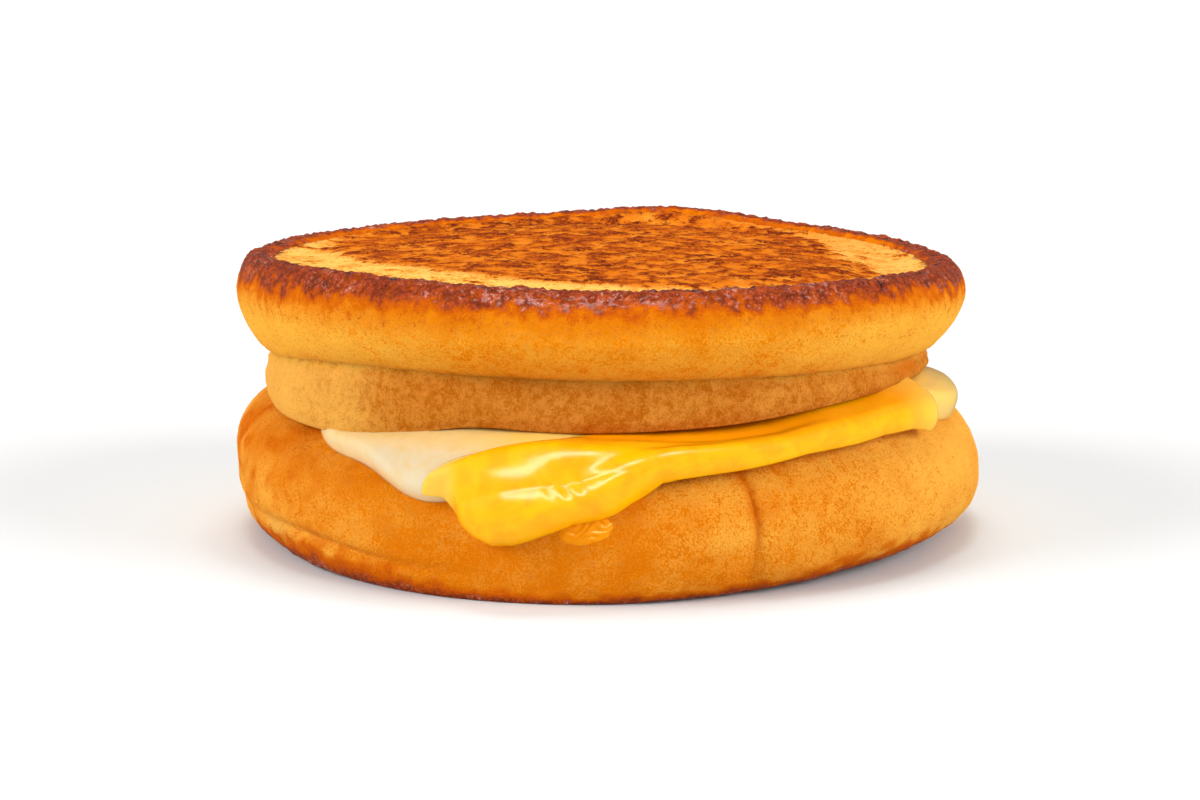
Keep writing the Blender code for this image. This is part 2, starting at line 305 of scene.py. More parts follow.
class NodeSheet:
    """An empty node tree, and the one way in which nodes are added to it."""

    def __init__(self, tree: bpy.types.NodeTree) -> None:
        """Empty a tree and keep it."""
        self.tree = tree
        self.tree.nodes.clear()

    def put(self, socket: bpy.types.NodeSocket, value: "Wire | float | Colour") -> None:
        """Link or set one input socket.

        Args:
            socket: The input.
            value: A wire to link, or a number or colour to set.
        """
        if isinstance(value, Wire):
            self.tree.links.new(value.socket, socket)
        elif isinstance(value, tuple) and socket.type == "RGBA":
            socket.default_value = (*value, 1.0)
        else:
            socket.default_value = value

    def node(self, kind: str, settings: dict, inputs: dict, output: int | str = 0) -> Wire:
        """Add one node.

        Args:
            kind: Type of the node.
            settings: Its own settings, which are set first.
            inputs: Values or links of its sockets, by name or number.
            output: The output socket wanted.

        Returns:
            That output.
        """
        made = self.tree.nodes.new(kind)
        for label, value in settings.items():
            setattr(made, label, value)
        for label, value in inputs.items():
            self.put(made.inputs[label], value)
        return Wire(self, made.outputs[output])


class Recipe(NodeSheet):
    """Node tree of one finish, built from expressions."""

    def __init__(self, name: str) -> None:
        """Start an empty tree with an output and one surface shader.

        Args:
            name: Name of the material.
        """
        self.material = bpy.data.materials.new(name)
        self.material.use_nodes = True
        super().__init__(self.material.node_tree)
        self.output = self.tree.nodes.new("ShaderNodeOutputMaterial")
        self.surface = self.tree.nodes.new("ShaderNodeBsdfPrincipled")
        self.tree.links.new(self.surface.outputs[0], self.output.inputs["Surface"])
        here = self.node("ShaderNodeTexCoord", {}, {}, "Object")
        scale = {0: here, "Scale": 1.0 / MILLIMETRE}
        self.place = self.node("ShaderNodeVectorMath", {"operation": "SCALE"}, scale)

    def mark(self, label: str) -> Wire:
        """Named value of the mesh's vertices."""
        return self.node("ShaderNodeAttribute", {"attribute_name": label}, {}, "Fac")

    def mottle(self, size: float, detail: float = 2.0, roughness: float = 0.5, warp: float = 0.0) -> Wire:
        """Cloudy pattern between 0 and 1.

        Args:
            size: Distance in millimetres over which it changes.
            detail: Number of finer layers.
            roughness: Strength of the finer layers.
            warp: Distortion.

        Returns:
            The value of the pattern.
        """
        inputs = {
            "Vector": self.place,
            "Scale": 1.0 / size,
            "Detail": detail,
            "Roughness": roughness,
            "Distortion": warp,
        }
        return self.node("ShaderNodeTexNoise", {}, inputs)

    def cells(self, size: float) -> Wire:
        """Distance to the nearest of many scattered points, for grains and pores of about that size."""
        return self.node("ShaderNodeTexVoronoi", {}, {"Vector": self.place, "Scale": 1.0 / size}, "Distance")

    def mix(self, first: Wire | Colour, second: Wire | Colour, amount: Wire | float) -> Wire:
        """Mix of two colours."""
        settings = {"data_type": "RGBA", "clamp_factor": True}
        return self.node("ShaderNodeMix", settings, {0: amount, 6: first, 7: second}, 2)

    def relief(self, height: Wire, depth: float) -> Wire:
        """Surface normal that a height between 0 and 1 gives, for relief of that depth in millimetres."""
        inputs = {"Height": height, "Distance": depth * MILLIMETRE, "Strength": 1.0}
        return self.node("ShaderNodeBump", {}, inputs)

    def dress(self, piece: bpy.types.Object, inputs: dict) -> None:
        """Set the surface shader's sockets and give the material to a piece."""
        for label, value in inputs.items():
            self.put(self.surface.inputs[label], value)
        piece.data.materials.append(self.material)


@dataclass(frozen=True)
class BreadFinish:
    """Outside of the bun: fine golden grain that turns red-brown and then nearly black where it is toasted,
    with painted highlights on the crags' peaks and painted shade in their hollows.

    Reads the marks toast, tan and pale; pale is partly painted light.
    """

    name: str
    gold: Colour = (0.86, 0.245, 0.001)
    light_gold: Colour = (0.99, 0.50, 0.055)
    tan: Colour = (0.50, 0.122, 0.002)
    light_tan: Colour = (0.90, 0.46, 0.08)
    deep_gold: Colour = (0.74, 0.170, 0.001)
    orange_brown: Colour = (0.70, 0.150, 0.002)
    red_brown: Colour = (0.60, 0.098, 0.003)
    maroon: Colour = (0.46, 0.062, 0.014)
    painted_glint: Colour = (0.86, 0.50, 0.40)
    black: Colour = (0.055, 0.010, 0.006)

    def dress(self, piece: bpy.types.Object) -> None:
        """Build the tree and give it to a piece.

        Args:
            piece: Mesh with the marks toast, tan and pale.
        """
        recipe = Recipe(self.name)
        speck = recipe.mottle(0.30, 3.0, 0.7) - 0.5
        patch = recipe.mottle(1.3, 3.0, 0.6, 0.4) - 0.5
        wide = recipe.mottle(7.0, 2.0) - 0.5
        # The mark pale, which lightens the gold and the tan, is painted light on the sides; on the lower half
        # it also holds a real pale patch and random tone.
        tone = recipe.mark("pale") + speck * 4.2 + patch * 2.0 + wide * 1.2
        deep_mottle = patch * 1.4 + wide * 1.6 + speck * 1.6
        gold = recipe.mix(self.gold, self.deep_gold, (deep_mottle * -1.0).step(0.05, 0.75))
        gold = recipe.mix(gold, self.light_gold, tone.step(-0.25, 1.25))
        smooth = recipe.mark("pale") + speck * 2.2 + patch * 2.2 + wide
        tan = recipe.mix(self.tan, self.light_tan, smooth.step(-0.6, 1.5))
        bread = recipe.mix(gold, tan, recipe.mark("tan"))
        crust = recipe.mark("toast") + patch * 0.6 + speck * 0.9
        warm = recipe.mix(bread, self.orange_brown, crust.step(0.0, 0.35))
        brown = recipe.mix(warm, self.red_brown, crust.step(0.22, 0.62))
        dark = recipe.mix(brown, self.maroon, (crust + patch * 0.5).step(0.52, 1.0))
        burnt = recipe.mix(dark, self.black, (crust + patch * 0.9 + speck * 0.6).step(1.05, 1.45))
        glaze = crust.step(0.40, 0.95)
        crags = recipe.cells(0.85) * 0.6 + recipe.cells(0.42) * 0.5 + recipe.cells(1.9) * 0.35
        craggy = (recipe.mark("toast") + patch * 0.3).step(0.45, 0.85)
        # Painted shade: black laid into the hollows between the crags, where hollow is high.
        hollow = (crags + speck * 0.6).step(0.50, 0.95) * craggy
        burnt = recipe.mix(burnt, self.black, hollow * 0.55)
        # Painted highlights: pinkish glints in the colour painted_glint on the crags' peaks, where lit is high.
        lit = (0.60 - crags + speck * 2.4 + patch * 1.6 + wide * 1.4).step(0.05, 0.80) * craggy
        burnt = recipe.mix(burnt, self.painted_glint, lit * 0.62)
        height = speck * 1.1 + patch * 0.5 - crags * craggy * 0.9
        recipe.dress(
            piece,
            {
                "Base Color": burnt,
                "Roughness": 0.9 - glaze * 0.4,
                "Coat Weight": glaze * 0.5,
                "Normal": recipe.relief(height, 0.42),
                "Specular IOR Level": 0.03,
                "Coat Roughness": 0.15,
            },
        )


@dataclass(frozen=True)
class CrumbFinish:
    """Cut face of the bun: pale gold crumb, browned in patches where it lay on the griddle.

    Reads the marks brown, char and moat.
    """

    name: str
    pale: Colour = (0.86, 0.47, 0.10)
    stain: Colour = (0.74, 0.22, 0.010)
    gold: Colour = (0.62, 0.15, 0.004)
    light_gold: Colour = (0.78, 0.30, 0.030)
    brown: Colour = (0.36, 0.058, 0.003)
    dark: Colour = (0.14, 0.018, 0.003)
    char: Colour = (0.06, 0.012, 0.006)

    def dress(self, piece: bpy.types.Object) -> None:
        """Build the tree and give it to a piece.

        Args:
            piece: Mesh with the marks brown, char and moat.
        """
        recipe = Recipe(self.name)
        browned = recipe.mark("brown") * (0.55 + 0.9 * recipe.mottle(9.0, 1.0))
        speck = recipe.mottle(0.40, 3.0, 0.7) - 0.5
        patch = recipe.mottle(1.2, 3.0, 0.6, 0.5) - 0.5
        wide = recipe.mottle(5.0, 2.0) - 0.5
        tone = patch * 1.8 + speck * 2.4 + wide * 1.8
        pale = recipe.mix(self.pale, self.stain, (browned * 1.6 + tone * 1.7).step(-0.35, 0.95))
        gold = recipe.mix(self.gold, self.light_gold, tone.step(-0.3, 0.9))
        crumb = recipe.mix(gold, pale, recipe.mark("moat"))
        toast = browned + speck * 2.3 + patch * 1.6
        brown = recipe.mix(crumb, self.brown, toast.step(0.05, 0.95))
        dark = recipe.mix(brown, self.dark, (toast + wide * 2.0 + patch * 1.6 + speck * 0.8).step(0.72, 1.35))
        burnt = recipe.mix(dark, self.char, (recipe.mark("char") + speck * 1.6).step(0.35, 1.0))
        glaze = recipe.mark("char").step(0.2, 0.9)
        recipe.dress(
            piece,
            {
                "Base Color": burnt,
                "Roughness": 0.9 - glaze * 0.4,
                "Coat Weight": glaze * 0.8,
                "Normal": recipe.relief(speck * 0.6 + patch * 0.4, 0.25),
                "Specular IOR Level": 0.04,
                "Coat Roughness": 0.25,
            },
        )


@dataclass(frozen=True)
class CheeseFinish:
    """Melted cheese: smooth, glossy and a little see-through where it is thin.

    Reads the marks thin, which is one where the slice runs out to nothing, and warm, which deepens the colour:
    on the white slice it is painted shade under the neck and the yellow melted into its right end, on the
    yellow one it deepens the orange towards the neck.
    """

    name: str
    body: Colour
    deep: Colour
    thin: Colour
    warm: Colour
    roughness: float
    scatter: Colour
    glow: float = 0.30

    def dress(self, piece: bpy.types.Object) -> None:
        """Build the tree and give it to a piece.

        Args:
            piece: Mesh with the marks thin and warm.
        """
        recipe = Recipe(self.name)
        cloud = recipe.mottle(3.2, 3.0, 0.55, 0.6)
        skin = recipe.mottle(0.9, 2.0)
        body = recipe.mix(self.deep, self.body, cloud.step(0.30, 0.66))
        # warm deepens the colour; on the white slice it is partly painted shade under the neck.
        tinted = recipe.mix(body, self.warm, recipe.mark("warm") + (cloud - 0.5) * recipe.mark("warm"))
        colour = recipe.mix(tinted, self.thin, recipe.mark("thin"))
        recipe.dress(
            piece,
            {
                "Base Color": colour,
                "Roughness": self.roughness + (skin - 0.5) * 0.10,
                "Normal": recipe.relief(skin * 0.7 + recipe.mottle(0.3, 2.0) * 0.3, 0.035),
                "Subsurface Weight": self.glow,
                "Subsurface Radius": self.scatter,
                "Subsurface Scale": 0.0015,
                "Specular IOR Level": 0.15,
                "Coat Weight": 0.80,
                "Coat Roughness": 0.20,
            },
        )


@dataclass(frozen=True)
class LowerShape:
    """Outline of the lower half of the bun, with tables at even steps round the sandwich."""

    centre: tuple[float, float] = (0.0, 0.3)
    foot_radius: Table = (
        45.2, 46.6, 48.0, 48.6, 48.6, 48.6, 48.4, 48.2,
        48.0, 46.7, 48.9, 50.4, 49.6, 45.8, 41.8, 41.2,
    )
    fullest_radius: Table = (52.7, 52.9, 53.4, 52.8, 52.6, 51.9, 52.2, 52.4)
    fullest_height: Table = (8.2, 9.0, 10.0, 11.0, 12.2, 8.6, 8.2, 8.0)
    shoulder_top: Table = (19.8, 19.8, 19.2, 19.6, 20.8, 17.9, 18.1, 19.5)
    shoulder_start: float = 41.0
    shoulder_stretch: float = 11.2
    middle_height: float = 19.0
    crease_heights: Table = (0.0, 5.0, 10.0, 14.0, 17.0, 19.0)
    crease_turns: Table = (-68.4, -68.8, -68.3, -68.7, -69.8, -71.5)
    dent_depth: float = 0.70
    groove_depth: float = 0.70
    fold_depth: float = 0.95
    fold_lip: float = 0.40

    def shoulder(self, reach: Array, angles: Array, lift: Array | float) -> Rings:
        """Point that lies a distance out from the middle along the bun's top, lifted off it.

        Args:
            reach: Distance from the middle, along the surface.
            angles: Directions.
            lift: Distance off the surface.

        Returns:
            Radius and height.
        """
        width = around(angles, self.fullest_radius) - self.shoulder_start
        rise = around(angles, self.shoulder_top) - around(angles, self.fullest_height)
        over = np.clip(reach - self.shoulder_start, 0.0, None) / self.shoulder_stretch
        flat_part = np.clip(reach / self.shoulder_start, 0.0, 1.0)
        flat_height = blend(self.middle_height, around(angles, self.shoulder_top), flat_part**2)
        radius = np.minimum(reach, self.shoulder_start) + width * np.sin(over)
        height = flat_height - rise * (1.0 - np.cos(over))
        out = np.sin(over) * rise
        up = np.cos(over) * width
        length = np.hypot(out, up)
        return radius + lift * out / length, height + lift * up / length

    def crease(self, height: Array) -> Array:
        """Direction of the upright crease at each height."""
        return np.interp(height, self.crease_heights, self.crease_turns)

    def relief(self, angles: Array, height: Array) -> Array:
        """How far the side is pressed in: one upright crease, and one low fold at the left.

        Args:
            angles: Directions in degrees.
            height: Height of each point.

        Returns:
            Depth in millimetres, below nought where the side stands out.
        """
        line = self.crease(height)
        dent = self.dent_depth * bump_round(angles, line, 2.2) * ramp(height, 0.0, 3.0)
        groove = self.groove_depth * bump_round(angles, line + 0.25, 0.42) * ramp(height, 2.0, 13.0)
        fold_height = 5.4 - 1.6 * ramp(angles, -150.0, -118.0)
        where = bump_round(angles, -138.0, 20.0)
        fold = self.fold_depth * bump(height, fold_height, 0.75) * where
        lip = -self.fold_lip * bump(height, fold_height + 1.9, 1.2) * where
        return dent + groove + fold + lip


@dataclass
class LowerBun:
    """Lower half of the bun, resting on its toasted cut face."""

    shape: LowerShape
    count: int = 760
    side_rings: int = 56
    shoulder_rings: int = 42
    foot_inset: float = 1.3
    foot_recess: float = 0.55
    closer: Rows = ((-68.0, 5.0, 0.8), (-138.0, 25.0, 0.3))
    roughness: Rows = ((0.15, 3.2, 5.0), (0.09, 1.5, 9.0), (0.05, 0.8, 2.0))
    foot_roughness: float = 0.22

    def rings(self, angles: Array) -> tuple[Array, Array]:
        """Rings from the recess under the foot, over the side, to the middle of the top.

        Args:
            angles: Directions of the points of each ring.

        Returns:
            Radius and height by ring and direction.
        """
        shape = self.shape
        foot = around(angles, shape.foot_radius)
        fullest = around(angles, shape.fullest_radius)
        level = around(angles, shape.fullest_height)
        rings = [(foot * share, np.full_like(foot, self.foot_recess)) for share in (0.3, 0.7, 0.93)]
        rings.append((foot - self.foot_inset, np.full_like(foot, 0.35)))
        rings.append((foot - 0.7 * self.foot_inset, np.full_like(foot, 0.08)))
        rings.append((foot - 0.4 * self.foot_inset, np.zeros_like(foot)))
        for turn in np.radians(np.linspace(2.0, 88.0, self.side_rings)):
            height = level * (1.0 - np.cos(turn))
            radius = blend(foot, fullest, np.sin(turn)) - shape.relief(angles, height)
            rings.append((radius + waviness(angles, height) * np.sin(turn), height))
        quarter = shape.shoulder_start + shape.shoulder_stretch * math.pi / 2.0
        for share in np.linspace(1.0, 0.02, self.shoulder_rings):
            reach = np.full_like(angles, blend(shape.shoulder_start, quarter, share))
            radius, height = shape.shoulder(reach, angles, 0.0)
            radius = radius - shape.relief(angles, height) * share
            rings.append((radius + waviness(angles, height) * share, height))
        for share in (0.9, 0.7, 0.35, 0.1):
            rings.append(shape.shoulder(np.full_like(angles, shape.shoulder_start * share), angles, 0.0))
        return np.array([ring[0] for ring in rings]), np.array([ring[1] for ring in rings])

    def build(self) -> bpy.types.Object:
        """Build and dress the lower half.

        Returns:
            The piece that stands for the solid bottom_bun.
        """
        angles = directions(self.count, self.closer)
        radius, height = self.rings(angles)
        points = to_points(self.shape.centre, radius, angles, height)
        shown = ramp(height, 0.05, 0.8)[..., None]
        rough = layered(points, self.roughness)
        patch = bump_round(angles, -151.0, 4.0) * bump(height, 4.6, 1.7)
        rough = rough + 0.30 * patch * np.abs(grain(points, 0.8, 31.0))
        edge = np.exp(-((height / 1.6) ** 2))
        rough = rough + self.foot_roughness * edge * grain(points, 1.1, 14.0)
        points = points + outward(points) * rough[..., None] * shown
        points[..., 2] = np.maximum(points[..., 2], 0.0)
        toasted_sides = 1.8 + 3.4 * bump_round(angles, -38.0, 22.0) + 3.0 * bump_round(angles, -142.0, 24.0)
        low = np.clip(1.0 - height / (toasted_sides * (1.0 + 0.5 * grain(points, 2.4, 52.0))), 0.0, 1.0)
        blotches = 0.16 * ramp(grain(points, 6.0, 61.0), -0.1, 0.7)
        blotches = blotches + 0.10 * ramp(grain(points, 2.6, 63.0), 0.0, 0.6)
        left = bump_round(angles, -158.0, 28.0)
        toast = 0.95 * low + blotches * (0.4 + left) + 0.14 * bump(height, 15.0, 4.5) * left
        # Painted shade: the toast mark is raised along the upright crease, darkening it.
        painted_crease_shade = bump_round(angles, self.shape.crease(height) + 0.25, 0.9)
        toast = toast + 0.22 * painted_crease_shade * ramp(height, 2.0, 12.0)
        ends = ramp(np.abs(np.cos(np.radians(angles))), 0.45, 1.0)
        right = ramp(np.cos(np.radians(angles)), 0.1, 0.9)
        # The mark pale is partly painted light: lighter towards the left and right ends and on the right,
        # darker across the front. The rough patch and the grain are paler and darker tone of the bread itself;
        # the mark also lifts a band low at -72 degrees and darkens the upper left.
        pale = 0.65 * ends + 0.25 * right + 0.5 * patch - 0.20 * bump_round(angles, -100.0, 20.0)
        pale = pale + 0.40 * bump_round(angles, -72.0, 12.0) * ramp(height, 3.0, 9.0)
        pale = pale + 0.25 * grain(points, 4.5, 67.0) + 0.12 - 0.30 * left * ramp(height, 4.0, 12.0)
        marks = {
            "toast": np.broadcast_to(toast, height.shape),
            "tan": np.clip(0.15 * ends + patch, 0.0, 1.0) * np.ones_like(height),
            "pale": np.broadcast_to(pale, height.shape),
        }
        piece = MeshMaker.closed_skin("lower_bun", points, marks)
        BreadFinish("lower_bread", gold=(0.78, 0.200, 0.001), light_gold=(0.98, 0.47, 0.06)).dress(piece)
        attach(piece, "root")
        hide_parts("bottom_bun")
        return piece


@dataclass
class Slice:
    """What both melted slices share: an outline in reach and direction, a top and an underside."""

    shape: LowerShape
    layer: float = -0.15

    def skin(
        self, reach: Array, angles: Array, low: Array, high: Array, fullness: Array
    ) -> tuple[Array, Array]:
        """Points of a slice from the middle of its underside round its edge to the middle of its top.

        Args:
            reach: Distance from the middle, by ring and direction.
            angles: Directions, by ring and direction.
            low: Lift of the underside.
            high: Lift of the top where the slice is full.
            fullness: Share of the thickness that is there, nought at the edge.

        Returns:
            Points by ring and direction, and which of them are on top.
        """
        top = blend(low, high, fullness)
        under = to_points(self.shape.centre, *self._placed(reach, angles, low))
        over = to_points(self.shape.centre, *self._placed(reach, angles, top))
        return self.both_sides(under, over), self.both_sides(np.zeros(len(under)), np.ones(len(over)))

    @staticmethod
    def both_sides(under: Array, over: Array) -> Array:
        """Rows of the underside, only some of which are needed, and then of the top from the edge inward."""
        last = len(under) - 1
        needed = np.unique(np.concatenate([np.arange(0, last, 8), [last - 1, last]]))
        return np.concatenate([under[needed], over[-2::-1]])

    def _placed(self, reach: Array, angles: Array, lift: Array) -> tuple[Array, Array, Array]:
        """Radius, direction and height on the lower bun's top."""
        radius, height = self.shape.shoulder(reach, angles, lift)
        return radius, angles, height

    @staticmethod
    def edge_distance(reach: Array, angles: Array) -> Array:
        """Distance of points on a slice, laid out flat, from its outline, which is the last ring.

        Args:
            reach: Distance from the middle, by ring and direction.
            angles: Directions, by ring and direction.

        Returns:
            The distance of each point.
        """
        turn = np.radians(angles)
        flat = np.stack([reach * np.cos(turn), reach * np.sin(turn), np.zeros_like(turn)], axis=-1)
        outline = flat[-1]
        step = np.linspace(0.0, 1.0, 6, endpoint=False)[:, None, None]
        dense = (outline + (np.roll(outline, -1, axis=0) - outline) * step).reshape(-1, 3)
        tree = KDTree(len(dense))
        for number, point in enumerate(dense.tolist()):
            tree.insert(point, number)
        tree.balance()
        found = [tree.find(point)[2] for point in flat.reshape(-1, 3).tolist()]
        return np.array(found).reshape(reach.shape)


@dataclass
class WhiteSlice(Slice):
    """White slice, which drapes over the lower bun and shows at the front left and the right end."""

    thickness: float = 1.9
    neck_lift: Rows = (
        (-152.0, 0.0, 51.0), (-140.0, 0.6, 52.0), (-130.0, 1.4, 54.0), (-122.0, 2.1, 54.5),
        (-116.0, 2.6, 54.5), (-110.0, 2.7, 54.0), (-104.0, 2.7, 53.0), (-98.0, 2.6, 52.0),
        (-92.0, 1.9, 51.0), (-86.0, 1.1, 50.0), (-78.0, 0.5, 49.0), (-70.0, 0.0, 48.4),
        (-40.0, 0.0, 50.0), (-24.0, 1.8, 51.5), (-14.0, 2.6, 51.5), (-4.0, 1.8, 51.5), (8.0, 0.0, 50.0),
    )
    neck_reach: float = 45.8
    inner_reach: float = 42.0
    corners: Rows = (
        (-117.0, 15.0, 11.3), (-141.0, 12.0, 5.1), (-98.0, 8.0, 6.0), (-13.0, 17.0, 7.0), (88.0, 18.0, 6.5),
    )
    edge_rounding: float = 1.5
    sag: Rows = ((0.10, 6.0, 3.0), (0.04, 2.2, 8.0))
    count: int = 420

    def edge(self, angles: Array) -> Array:
        """Reach of the outline in each direction."""
        reached = sum(size * bump_round(angles, at, width) for at, width, size in self.corners)
        return self.inner_reach + reached

    def top(self, angles: Array, reach: Array) -> Array:
        """Lift of the upper face where the slice is full; it is thicker by the neck."""
        places, lifts, ends = zip(*self.neck_lift)
        lift = sum(np.interp(angles + shift, places, lifts) for shift in (-3.0, -1.0, 1.0, 3.0)) / 4.0
        outer = np.interp(angles, places, ends)
        share = np.clip((reach - self.neck_reach) / (outer - self.neck_reach), 0.0, 1.0)
        return self.thickness + lift * ramp(reach, 40.0, 44.0) * (1.0 - share) * (1.0 + 0.6 * share)

    def build(self) -> bpy.types.Object:
        """Build and dress the slice.

        Returns:
            The piece that stands for the solid white_cheese.
        """
        angles = directions(self.count, ((-120.0, 25.0, 1.6), (-5.0, 20.0, 0.8)))
        edge = self.edge(angles)
        shares = np.concatenate([[0.4, 0.72], 1.0 - 0.21 * (1.0 - np.linspace(0.0, 1.0, 58)) ** 1.4])
        reach = shares[:, None] * edge
        turns = np.broadcast_to(angles, reach.shape)
        distance = self.edge_distance(reach, turns)
        fullness = np.sqrt(1.0 - (1.0 - np.clip(distance / self.edge_rounding, 0.0, 1.0)) ** 2)
        low = np.full(reach.shape, self.layer)
        points, on_top = self.skin(reach, turns, low, self.top(turns, reach), fullness)
        sag = layered(points, self.sag)
        points = points + outward(points) * (sag * on_top[:, None])[..., None]
        both = self.both_sides(distance, distance)
        # The mark warm is partly painted shade: a deeper tint under the neck (by_neck) and beside it at -98
        # degrees; at the right end it is the yellow melted into the white.
        by_neck = 1.0 - ramp(self.both_sides(reach, reach), 45.5, 50.0)
        all_turns = self.both_sides(turns, turns)
        right_end = bump_round(all_turns, -8.0, 30.0)
        tinted = 0.55 * by_neck + 0.55 * bump_round(all_turns, -98.0, 11.0) + 0.85 * right_end
        marks = {
            "thin": 0.40 * (1.0 - ramp(both, 0.1, 1.4)) * (1.0 - right_end),
            "warm": np.clip(tinted, 0.0, 1.0),
        }
        piece = MeshMaker.closed_skin("white_slice", points, marks)
        CheeseFinish(
            "white_melted_cheese",
            body=(0.68, 0.575, 0.39),
            deep=(0.69, 0.51, 0.25),
            thin=(0.72, 0.48, 0.19),
            warm=(0.86, 0.56, 0.12),
            roughness=0.38, scatter=(1.0, 0.85, 0.6), glow=0.4,
        ).dress(piece)
        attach(piece, "root")
        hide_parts("white_cheese")
        return piece


@dataclass
class YellowSlice(Slice):
    """Yellow slice on the white one: a thick melted lip along the front, and a drip at the front left."""

    white: WhiteSlice | None = None
    inner_reach: float = 41.6
    left_edge: float = -95.3
    right_edge: float = -25.5
    border: Rows = (
        (41.5, -91.0), (43.8, -93.5), (45.4, -97.0), (46.7, -101.5), (47.4, -105.5), (47.9, -108.6),
        (48.5, -111.4), (49.4, -114.2), (50.4, -116.2), (51.4, -117.4), (52.2, -117.9), (53.0, -117.8),
    )
    swing_end: float = -57.0
    back_corner: tuple[float, float, float] = (80.0, 16.0, 8.4)
    outline: Rows = (
        (-120.0, 53.2), (-113.6, 53.2), (-112.0, 55.0), (-110.6, 56.6), (-108.6, 58.0), (-106.0, 58.9),
        (-103.0, 58.7), (-99.5, 57.5), (-95.0, 55.6), (-91.0, 54.8), (-89.0, 54.1), (-86.5, 52.4),
        (-84.5, 51.4), (-82.0, 50.2), (-79.0, 49.9), (-75.0, 49.7), (-69.8, 49.5), (-65.0, 49.2),
        (-58.0, 48.5), (-48.0, 48.4), (-41.0, 48.1), (-34.0, 48.6), (-28.0, 50.1), (-22.0, 50.1),
        (-12.0, 48.5),
    )
    neck_thickness: Rows = (
        (-104.0, 0.5), (-98.0, 0.3), (-92.0, 0.3), (-86.0, 0.8), (-74.0, 1.0), (-62.0, 1.0), (-50.0, 1.9),
    )
    lip_thickness: float = 2.1
    lip_turns: Table = (-96.0, -91.0, -85.5, -79.5, -73.2, -60.0, -30.0)
    lip_reaches: Table = (52.8, 51.6, 49.9, 48.7, 48.1, 47.3, 46.9)
    lip_height: float = 0.50
    dip_depth: float = 0.30
    wrinkle_height: float = 0.13
    streak_height: float = 0.07
    drip: Table = (2.1, -103.5, 7.5, 54.7, 3.9)
    shelf: Table = (0.28, -95.5, 5.0, 49.0, 1.5)
    hollow: Table = (-0.45, -95.5, 3.0, 51.4, 1.6)
    ripple: Rows = ((0.05, 4.0, 4.0), (0.025, 1.6, 7.0))
    closer: Rows = ((-95.3, 1.6, 9.0), (-88.0, 9.0, 2.4), (-50.0, 30.0, 1.2))
    count: int = 980

    def edge(self, angles: Array) -> Array:
        """Reach of the outline by direction before the front is swung aside.

        Args:
            angles: Directions in degrees.

        Returns:
            The reach in each direction.
        """
        seen = np.array([point[0] for point in self.outline])
        reaches = np.array([point[1] for point in self.outline])
        before = np.linspace(-100.0, 0.0, 2001)
        places = []
        for at, reach in zip(seen, reaches):
            after = self.swung(before, np.full_like(before, reach))
            places.append(float(np.interp(at, after, before)))
        front = np.interp(angles, places, reaches)
        left = ramp(angles, self.left_edge - 1.0, self.left_edge + 1.0)
        right = 1.0 - ramp(angles, self.right_edge - 5.0, self.right_edge + 5.0)
        at, width, size = self.back_corner
        back = size * bump_round(angles, at, width)
        return self.inner_reach + (front - self.inner_reach) * left * right + back

    def swung(self, angles: Array, reach: Array) -> Array:
        """Directions after the melted front has slid to the left."""
        share = np.clip((self.swing_end - angles) / (self.swing_end - self.left_edge - 1.7), 0.0, 1.0) ** 2
        places, edges = zip(*self.border)
        shifts = [np.interp(reach + step, places, edges) - self.left_edge for step in (-0.6, -0.2, 0.2, 0.6)]
        return angles + share * sum(shifts) / len(shifts)

    def folds(self, turns: Array, reach: Array) -> Array:
        """Forms of the melted top: a full drip, a rolled lip, wrinkles between them and fine streaks.

        Args:
            turns: Directions after the swing.
            reach: Distance from the middle.

        Returns:
            Extra thickness.
        """
        swells = sum(
            lift * bump_round(turns, at, width) * bump(reach, out, length)
            for lift, at, width, out, length in (self.drip, self.shelf, self.hollow)
        )
        lip_line = np.interp(turns, self.lip_turns, self.lip_reaches)
        along = ramp(turns, -97.0, -90.0)
        lip = self.lip_height * bump(reach, lip_line + 0.3, 2.1) * along
        dip = -self.dip_depth * bump(reach, lip_line - 2.2, 0.9) * along * (1.0 - ramp(turns, -62.0, -50.0))
        tilt = (turns + 96.0) * 0.87 - (reach - 51.5) * 0.9
        wrinkles = self.wrinkle_height * np.sin(tilt * 2.9)
        wrinkles = wrinkles * bump_round(turns, -96.0, 3.0) * bump(reach, 52.0, 1.8)
        streaks = self.streak_height * np.sin((reach - 45.0) * 4.2 + 0.05 * turns)
        streaks = streaks * bump_round(turns, -78.0, 12.0) * bump(reach, 46.6, 1.6)
        return swells + lip + dip + wrinkles + streaks

